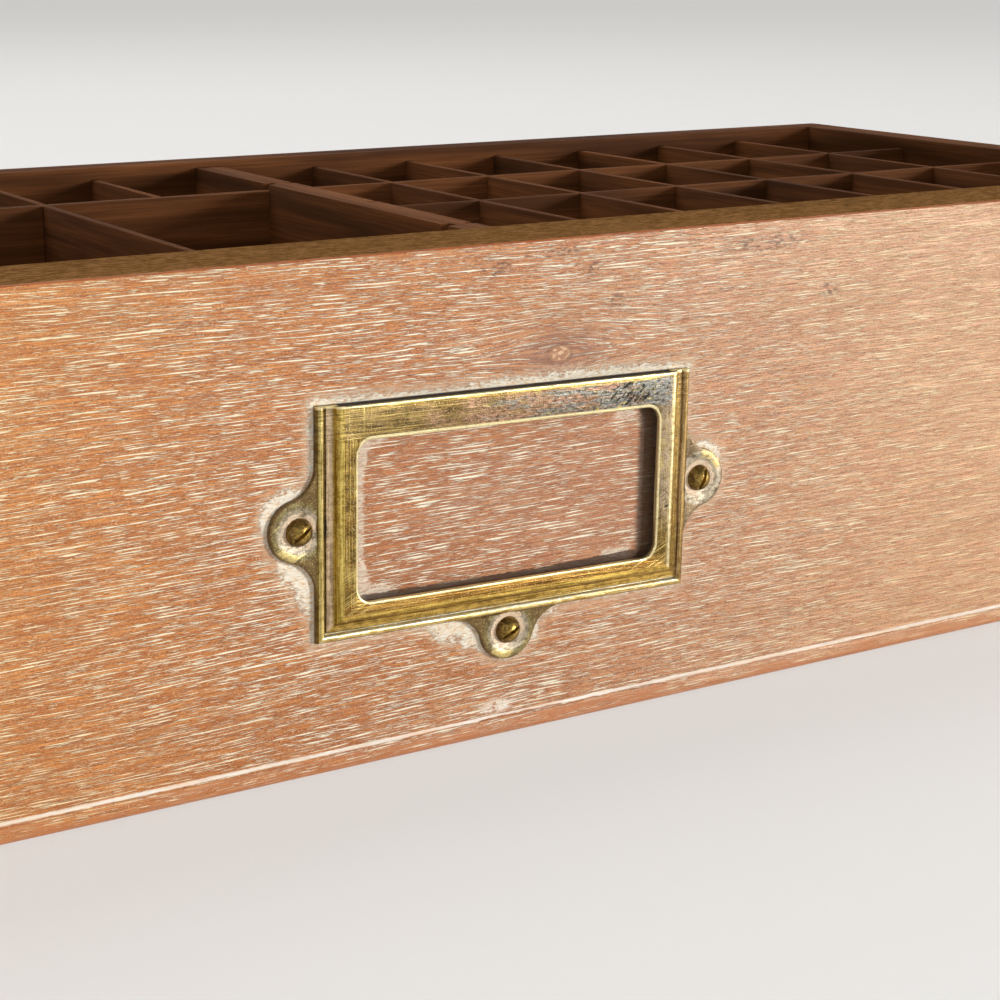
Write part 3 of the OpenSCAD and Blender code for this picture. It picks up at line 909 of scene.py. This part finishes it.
def limed_hardwood():
    """Orange-tan hardwood with lime in its pores, a knot, and lime left round the card frame."""
    f = Finish("limed_hardwood")
    x, y, z = f.parts(f.place)
    _, behind, above = f.facing()

    # The grain runs along X, waves a little and spreads round the knot
    off_x = f.minus(x, KNOT[0])
    off_z = f.minus(z, KNOT[1])
    away = f.squares(
        f.maths("DIVIDE", off_x, KNOT_REACH[0]), f.maths("DIVIDE", off_z, KNOT_REACH[1])
    )
    near_knot = f.maths("EXPONENT", f.product(away, -1.0))
    wave = f.noise(f.place, (110, 20, 22), 1.0, seed=3)
    ripple = f.noise(f.place, (18, 6, 5), 1.0, seed=5)
    up = f.total(
        z,
        f.product(off_z, near_knot, -0.8),
        f.product(f.minus(wave, 0.5), 4.0),
        f.product(f.minus(ripple, 0.5), 0.7),
    )
    grain = f.joined(x, y, up)

    # Lime in the pores: long thin dashes and finer ones between them, fading to the right
    faded = f.rise(f.total(x, z), -50.0, 120.0)
    bands = f.noise(grain, (30, 12, 7), 2.0, seed=8)
    rough = f.noise(grain, (0.45, 1, 0.12), 2.0, 0.6, seed=13)
    amid = f.spot(x, z, (0.0, 36.0), (80.0, 80.0))
    frayed = f.total(
        f.product(f.minus(rough, 0.5), 0.16),
        f.product(amid, 0.016),
        f.product(f.minus(bands, 0.5), 0.12),
        f.product(faded, -0.01),
    )
    lane = f.total(up, f.product(f.minus(rough, 0.5), 0.04))
    lean = f.total(f.dashes(x, lane, 0.48, 4.4, seed=11), frayed)
    fine = f.total(f.dashes(x, lane, 0.36, 1.8, seed=12), frayed)
    pores = f.most(f.rise(lean, -0.01, 0.015), f.product(f.rise(fine, -0.01, 0.03), 0.8))

    # Wood: orange to tan from one stretch to the next, with darker fibres between the pores
    drift = f.noise(f.place, (70, 30, 26), 2.0, seed=21)
    stretch = f.rise(f.total(f.product(x, 0.007), drift), 0.2, 0.9)
    wood = f.mix(stretch, paint("e0954e"), paint("eebd94"))
    fibres = f.rise(f.noise(grain, (11, 0.8, 0.22), 3.0, 0.65, seed=22), 0.42, 0.58)
    wood = f.mix(f.product(fibres, 0.68), wood, f.mix(stretch, paint("9f5627"), paint("ac6d48")))
    haze = f.rise(f.noise(grain, (4.5, 0.9, 0.6), 4.0, 0.7, seed=24), 0.42, 0.68)
    wood = f.mix(f.product(haze, f.between(faded, 0.25, 0.6)), wood, paint("dcae7c"))
    brim = f.rise(f.most(lean, f.minus(fine, 0.02)), -0.17, -0.03)
    wood = f.mix(f.product(amid, 0.28), wood, paint("a2562a"))
    wood = f.mix(f.product(brim, f.between(amid, 0.5, 1.0)), wood, paint("84401c"))
    speck = f.noise(f.place, (0.28, 1, 0.16), 1.0, 0.7, seed=25)
    wood = f.mix(f.rise(speck, 0.6, 0.75), wood, paint("8a5030"))
    wood = f.mix(f.rise(speck, 0.40, 0.25), wood, paint("e8bd90"))
    lime = f.mix(amid, paint("fbe2b0"), paint("fff6dc"))
    lime = f.mix(f.rise(f.most(lean, fine), -0.015, 0.01), paint("f0d2a2"), lime)
    lime = f.mix(f.product(faded, 0.3), lime, paint("f2dcb8"))
    face = f.mix(pores, wood, lime)

    # The knot: a small pale eye, cracked across, in a dusky halo; bruises near the top edge
    smoke = f.noise(f.place, (5, 5, 3), 3.0, 0.6, seed=27)
    halo = f.rise(f.total(f.product(away, 0.7), f.product(smoke, 1.3)), 1.5, 0.5)
    face = f.mix(f.product(halo, f.between(fibres, 0.45, 0.8)), face, paint("845840"))
    eye = f.length(f.maths("DIVIDE", off_x, KNOT_EYE[0]), f.maths("DIVIDE", off_z, KNOT_EYE[1]))
    grit = f.noise(f.place, (0.7, 1, 0.4), 3.0, 0.7, seed=29)
    eye = f.total(eye, f.product(f.minus(grit, 0.5), 1.2))
    face = f.mix(f.product(f.rise(eye, 1.5, 1.0), 0.6), face, paint("7a4f35"))
    tan = f.mix(f.rise(grit, 0.45, 0.6), paint("a5724c"), paint("e3bd94"))
    face = f.mix(f.rise(eye, 1.05, 0.8), face, tan)
    bruised = f.product(
        f.most(*[f.spot(x, z, middle, reach) for middle, reach in BRUISES]),
        f.rise(f.noise(f.place, (1.3, 1, 0.6), 3.0, 0.7, seed=30), 0.48, 0.6),
    )
    face = f.mix(f.product(bruised, 0.8), face, paint("6d4a36"))

    # Round the card frame the lime lies in a crumbly line, in heaps here and there
    own, own_x, own_z, _ = hung_place(f)
    outline = f.off_box(own_x, own_z, CARD_LOW, CARD_TOP)
    ears_off = f.minus(screw_distance(f, own_x, own_z), EAR_ROUND / MM)
    outline = f.maths("SMOOTH_MIN", outline, ears_off, 3.0)
    window = f.off_box(own_x, own_z, WINDOW_LOW, WINDOW_TOP, WINDOW_ROUND / MM)
    open_wood = f.rise(window, 2.9, 3.1)
    crumbs = f.noise(own, (1.1, 1.1, 0.9), 4.0, 0.7, seed=28)
    left_thick = f.total(0.5, *[
        f.product(f.spot(own_x, own_z, middle, reach), amount)
        for middle, reach, amount in LIME_HEAPS
    ])
    powder = f.noise(grain, (0.7, 0.7, 0.25), 3.0, 0.7, seed=33)
    crumbly = f.total(crumbs, powder, -1.0)
    ragged = f.product(crumbly, f.between(left_thick, 0.7, 2.0))
    heap = f.rise(f.minus(f.total(left_thick, ragged), outline), -0.1, 0.6)
    dust = f.rise(f.minus(f.total(left_thick, f.product(ragged, 1.5)), outline), -2.0, 0.6)
    heap = f.product(heap, open_wood)
    face = f.mix(f.product(dust, open_wood, f.between(powder, 0.2, 0.9)), face, paint("e6c4a2"))
    chalk = f.mix(f.rise(powder, 0.35, 0.55), paint("efcb9c"), paint("fff6e2"))
    face = f.mix(f.product(heap, 0.95), face, chalk)
    # Painted contact shadow, with some dirt: a thin dark brown line round the frame's outline
    contact_shade_and_dirt = f.product(f.rise(outline, 0.2, 0.05), open_wood)
    face = f.mix(f.product(contact_shade_and_dirt, 0.7), face, paint("5a3a20"))
    # Painted shade: a near-black line just above the frame's top edge, where the pocket's open
    # mouth lies in shade
    at_mouth = f.rise(own_z, CARD_TOP[1] - 0.5, CARD_TOP[1] - 0.3)
    mouth_shade = f.product(at_mouth, f.rise(outline, 0.12, 0.0), open_wood)
    face = f.mix(f.product(mouth_shade, 0.9), face, paint("1c1008"))

    # Inside the frame the wood is duskier, with lime left along the left and in the corners
    shade = f.product(f.rise(window, 0.6, -0.2), f.less(f.product(pores, 0.9)))
    face = f.mix(f.product(shade, 0.26), face, paint("965c46"))
    left = f.minus(own_x, WINDOW_LOW[0])
    unwiped = f.total(
        f.product(f.rise(left, 3.3, 1.6), 2.3),
        f.product(f.spot(own_x, own_z, (-22.5, 8.0), (6.0, 3.0)), 2.2),
        f.product(f.spot(own_x, own_z, (-23.0, 27.5), (4.0, 3.0)), 1.6),
        f.product(f.spot(own_x, own_z, (21.0, 27.0), (4.0, 3.0)), 2.2),
        f.product(f.spot(own_x, own_z, (20.0, 8.0), (5.0, 2.5)), 2.4),
    )
    film = f.rise(f.total(unwiped, f.product(crumbly, 2.0), window), 0.0, 0.9)
    film = f.product(film, f.rise(window, 1.5, 1.0), f.rise(powder, 0.2, 0.6))
    face = f.mix(film, face, f.mix(powder, paint("c9a98c"), paint("fbeeda")))
    # Dirt and painted shade under the window's right and lower edges, where the plate's shadow and
    # the pocket's mouth fall
    loose = f.product(f.minus(crumbs, 0.5), 0.7)
    below = f.total(own_z, loose, f.product(f.rise(own_x, 4.0, 22.0), -0.5))
    grime_and_shade = f.most(
        f.product(f.rise(f.total(own_x, loose), 23.0, 24.2), f.rise(own_z, 3.0, 5.0)),
        f.product(f.rise(own_x, -26.5, -23.5), f.rise(below, 6.25, 5.95)),
    )
    grime_and_shade = f.product(grime_and_shade, f.rise(window, 3.0, 2.5))
    face = f.mix(f.product(grime_and_shade, 0.9), face, f.mix(powder, paint("1a0d05"), paint("5e4028")))

    # Lime fills the quirk, whitest to the left; the round of the bead is rubbed nearly clean
    patchy = f.noise(grain, (14, 2, 2), 3.0, 0.6, seed=31)
    level = f.total(z, f.product(f.minus(crumbs, 0.5), 0.25))
    thin = f.product(f.spot(x, z, (6.0, 3.0), (22.0, 8.0)), f.rise(patchy, 0.35, 0.6), 0.3)
    quirk = f.product(
        f.rise(f.minus(level, thin), BEAD / MM - 0.1, BEAD / MM + 0.05),
        f.rise(level, (BEAD + QUIRK) / MM - 0.1, (BEAD + QUIRK) / MM - 0.22),
    )
    blob = f.product(f.spot(x, z, (-1.5, 5.2), (3.4, 1.3)), f.rise(crumbs, 0.42, 0.5))
    rubbed = f.product(f.rise(z, 2.9, 2.4), f.rise(patchy, 0.6, 0.4))
    face = f.mix(f.product(f.most(rubbed, f.rise(z, 1.6, 0.9)), 0.75), face, paint("c67e4c"))
    chalk = f.mix(f.rise(patchy, 0.3, 0.7), paint("fffaf0"), paint("f3dcc0"))
    face = f.mix(f.most(quirk, blob), face, chalk)

    # The top edge is bare brown wood, painted darker still as painted shade from light that only
    # grazes it; the inside is dark
    scuffed = f.noise(f.place, (1.6, 0.5, 0.5), 4.0, 0.75, seed=35)
    bare = f.mix(f.rise(scuffed, 0.35, 0.65), paint("5e3e1e"), paint("9a7044"))
    on_top = f.product(f.rise(above, 0.75, 0.95), f.rise(z, 40, 60))
    arris = f.product(f.rise(above, 0.25, 0.6), f.rise(above, 0.95, 0.8), f.rise(z, 40, 60))
    face = f.mix(f.product(arris, 0.9), face, paint("a24e1a"))
    face = f.mix(on_top, face, bare)
    dark = f.mix(f.noise(grain, (20, 0.8, 0.8), 3.0, seed=36), paint("43290f"), paint("6b4728"))
    at_back = f.rise(behind, 0.3, 0.7)
    face = f.mix(at_back, face, dark)
    limed = f.less(f.most(on_top, at_back))

    relief = f.relief(f.product(pores, limed, -1.0), 0.05, f.relief(fibres, 0.03))
    relief = f.relief(f.product(heap, powder), 0.15, relief)
    return f.apply(
        face,
        f.between(f.most(pores, heap), 0.46, 0.75),
        relief,
        specular=f.between(limed, 0.0, 0.4),
    )


# Every other wooden node; the front is cut out for those that reach into it
INNER_WOOD = [
    name for name in frame["nodes"]
    if not name.startswith(("front_board", "card_frame", "bottom_nails"))
]
let_in = reaching_nodes(front_low, front_high, INNER_WOOD)
front = carved(front_piece(), [made("tool", copied(name)) for name in let_in])
settled(dressed(front, limed_hardwood()), "limed_front", "front_board")


# ---------------------------------------------------------------------------
# The inside: sides, back, bottom, bars and slats of softwood, planed, left without a
# finish and gone dark with age and printer's ink. The corners are dovetailed, the bottom
# boards lie in grooves, and the bars and slats stand in housings.
# ---------------------------------------------------------------------------
CORNER_ROUND = 0.3 * MM


def aged_wood(name, along, pale, deep, seed):
    """Dark aged wood whose grain runs along X or Y."""
    f = Finish(name)
    turned = f.fit(f.place, turn=(0, 0, -math.pi / 2)) if along == "Y" else f.place
    rings = f.noise(turned, (120, 7, 7), 3.0, 0.55, seed=seed)
    fibres = f.noise(turned, (30, 0.7, 0.7), 4.0, 0.6, seed=seed + 1)
    stain = f.noise(f.place, (60, 60, 40), 3.0, 0.6, seed=seed + 2)
    colour = f.mix(f.rise(rings, 0.3, 0.7), paint(deep), paint(pale))
    colour = f.mix(f.product(f.rise(fibres, 0.35, 0.65), 0.5), colour, paint(deep))
    colour = f.mix(f.product(f.rise(stain, 0.5, 0.8), 0.5), colour, paint("2c1c12"))
    return f.apply(colour, f.between(fibres, 0.65, 0.85), f.relief(fibres, 0.06), specular=0.12)


woods = {
    "across": aged_wood("aged_wood_across", "X", "84502a", "4a2a12", 61),
    "along": aged_wood("aged_wood_along", "Y", "84502a", "4a2a12", 71),
    "bottom": aged_wood("aged_bottom", "X", "8f5f34", "583618", 81),
}
record_slots = {row["node"]: row["material_slot"] for row in frame["record"]["subparts"]}


def wood_for(node):
    """The wood whose grain runs the long way of a piece."""
    low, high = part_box(node)
    if node.startswith("bottom_board"):
        return woods["bottom"]
    if "box_slats" in node or high.y - low.y > high.x - low.x:
        return woods["along"]
    return woods["across"]


for node in INNER_WOOD:
    bm = copied(node)
    bmesh.ops.dissolve_limit(bm, angle_limit=math.radians(1), verts=bm.verts, edges=bm.edges)
    corners = [
        edge for edge in bm.edges
        if edge.is_convex and len(edge.link_faces) == 2 and edge.calc_face_angle() > 1
    ]
    eased(bm, corners, CORNER_ROUND, 2)
    piece = made("wood_" + node, bm, wood_for(node))
    settled(piece, record_slots[node], node)


# ---------------------------------------------------------------------------
# The nails: round ones of iron, driven up through the bottom boards into the back and the
# main bars, and rusted dull.
# ---------------------------------------------------------------------------
def rusted_iron():
    """Iron under a dull skin of dark and brown rust."""
    f = Finish("rusted_iron")
    rust = f.noise(f.place, (1.2, 1.2, 1.2), 4.0, 0.6, seed=91)
    colour = f.mix(f.rise(rust, 0.4, 0.6), paint("3a3532"), paint("5c3a25"))
    return f.apply(colour, f.between(rust, 0.5, 0.8), f.relief(rust, 0.1), metallic=0.6)


nails = frame["nodes"]["bottom_nails"]
nails.data.materials.clear()
nails.data.materials.append(rusted_iron())
